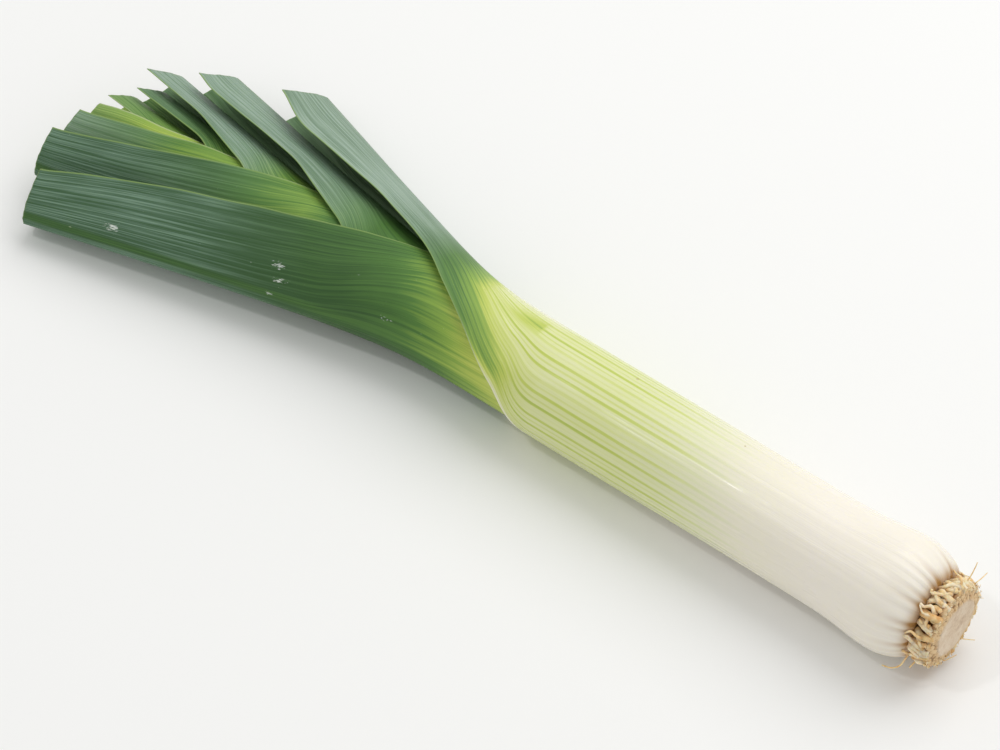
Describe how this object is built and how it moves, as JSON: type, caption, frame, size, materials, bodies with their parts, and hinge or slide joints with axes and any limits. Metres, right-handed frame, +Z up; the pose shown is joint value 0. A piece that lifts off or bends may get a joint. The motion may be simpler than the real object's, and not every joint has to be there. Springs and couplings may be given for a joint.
{
  "type": "leek",
  "caption": "Trimmed leek lying on its side: a white bulb and shaft of leaf sheaths rolled inside each other, a level fan of cut green blades, and a root plate with cut roots.",
  "frame": {"origin": "on the table, in the middle of the bounding box", "axes": "+X towards the root plate, +Z up, +Y to the side that the outermost leaf leaves the shaft on"},
  "size_m": [0.4158, 0.1247, 0.0453],
  "materials": {
    "green_leaf": "waxy leaf, green in the fan and cream at the bulb",
    "young_leaf": "waxy leaf, yellow-green",
    "root_plate": "dry, fibrous"
  },
  "bodies": {
    "root": {"leaf_01": "green_leaf", "leaf_02": "green_leaf", "leaf_03": "green_leaf", "leaf_04": "green_leaf", "leaf_05": "green_leaf", "leaf_06": "young_leaf", "leaf_07": "young_leaf", "leaf_08": "young_leaf", "leaf_09": "young_leaf", "leaf_10": "young_leaf", "root_plate": "root_plate"}
  },
  "joints": []
}
